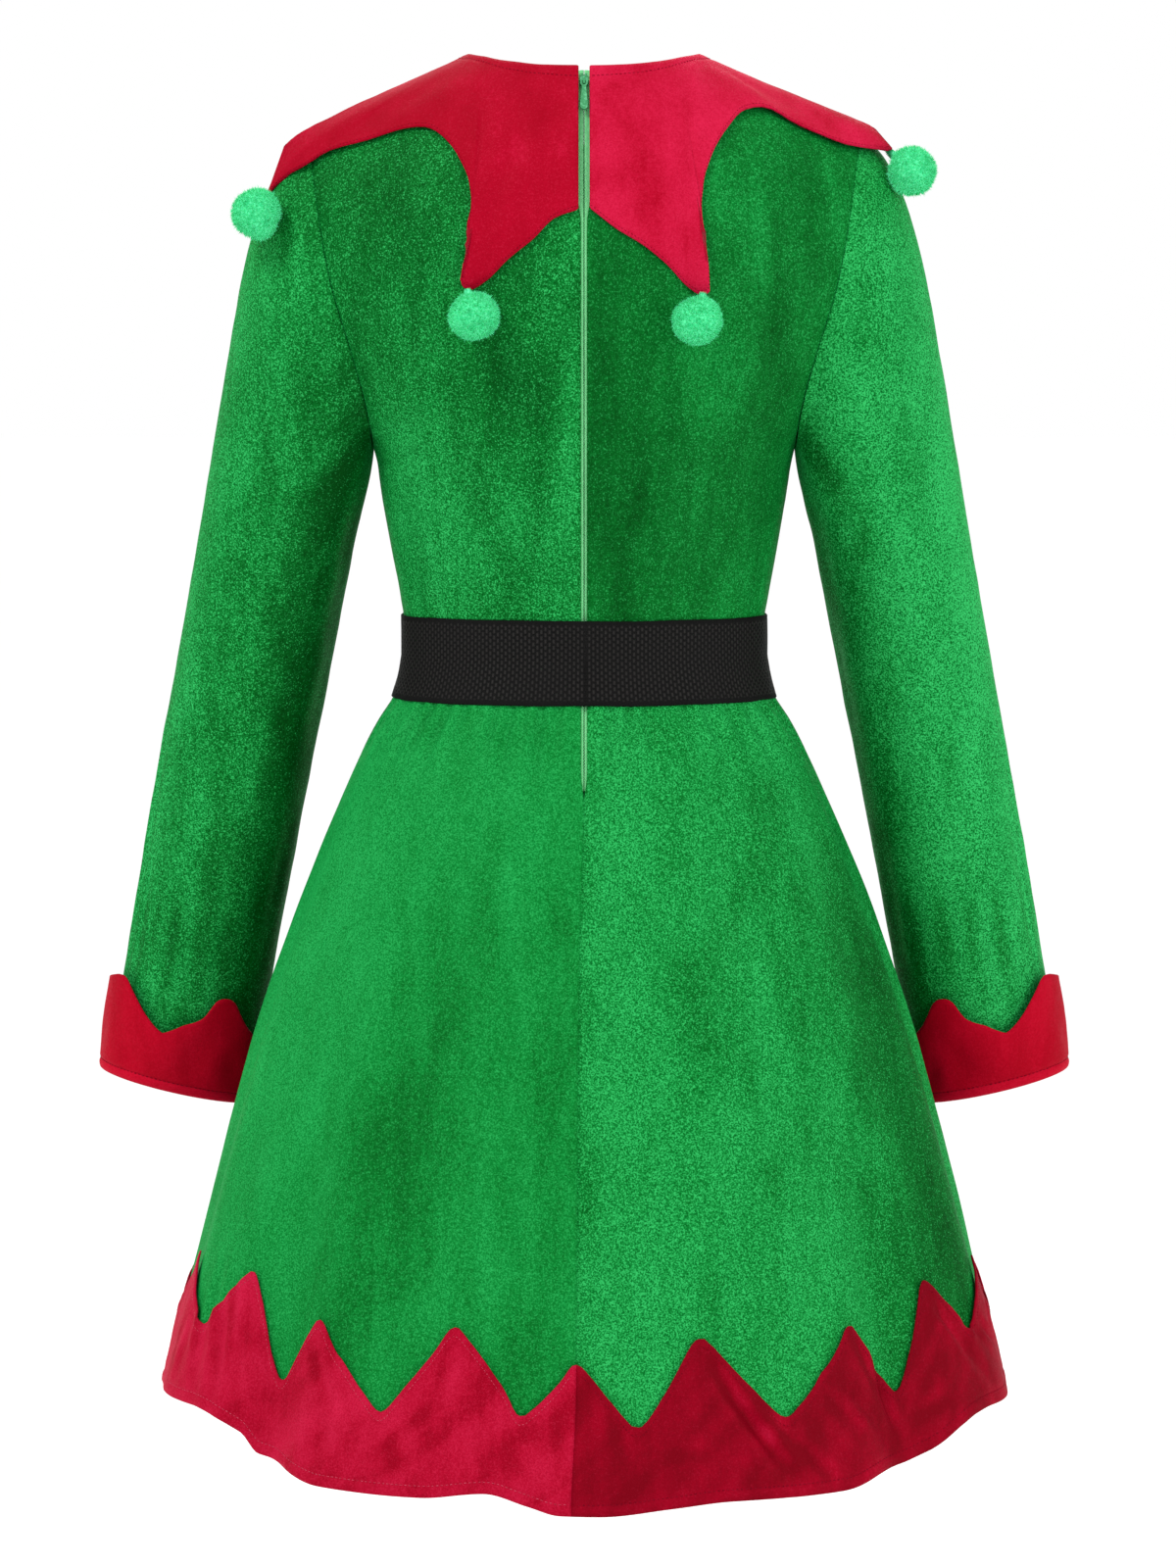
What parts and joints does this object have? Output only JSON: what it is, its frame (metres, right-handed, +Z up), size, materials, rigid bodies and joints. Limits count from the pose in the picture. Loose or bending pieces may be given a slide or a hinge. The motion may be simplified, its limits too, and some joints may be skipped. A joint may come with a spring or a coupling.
{
  "type": "elf costume",
  "caption": "Long-sleeved velvet elf dress in hollow worn form: pointed collar with pompoms, turned-up cuffs, back zip, elastic belt and zigzag hem.",
  "frame": {"origin": "midway between the shoulders, at the height of the middle of the shoulder seams, inside the neck and shoulders where the wearer carries it", "axes": "+Z up, -Y the way the wearer faces, +X the wearer's left"},
  "size_m": [0.6214, 0.4037, 0.8737],
  "materials": {
    "green_velvet": "crushed glitter velvet",
    "red_velvet": "short plain velvet",
    "black_elastic": "ribbed woven elastic",
    "pompom_fluff": "fluffy acrylic fibre",
    "zip_tape": "woven tape",
    "zip_enamel": "glossy green enamel on metal"
  },
  "bodies": {
    "garment": {"bodice_back_left": "green_velvet", "bodice_back_right": "green_velvet", "bodice_front": "green_velvet", "sleeve_left": "green_velvet", "sleeve_right": "green_velvet", "cuff_left": "red_velvet", "cuff_right": "red_velvet", "skirt_back_left": "green_velvet", "skirt_back_right": "green_velvet", "skirt_front": "green_velvet", "hem_trim_back_left": "red_velvet", "hem_trim_back_right": "red_velvet", "hem_trim_front": "red_velvet", "belt": "black_elastic", "collar": "red_velvet", "pompom_back_left": "pompom_fluff", "pompom_back_right": "pompom_fluff", "pompom_shoulder_left": "pompom_fluff", "pompom_shoulder_right": "pompom_fluff", "pompom_front_left": "pompom_fluff", "pompom_front_right": "pompom_fluff", "zip_tape_left": "zip_tape", "zip_tape_right": "zip_tape", "zip_slider": "zip_enamel", "zip_stop_left": "zip_enamel", "zip_stop_right": "zip_enamel"},
    "pull_tab": {"zip_pull_tab": "zip_enamel"}
  },
  "joints": [
    {"name": "pull_tab_hinge", "type": "hinge", "parent": "garment", "child": "pull_tab", "pos_m": [0, 0.06315, 0.00743], "axis": [1, 0, 0], "range_deg": [0, 170]}
  ]
}
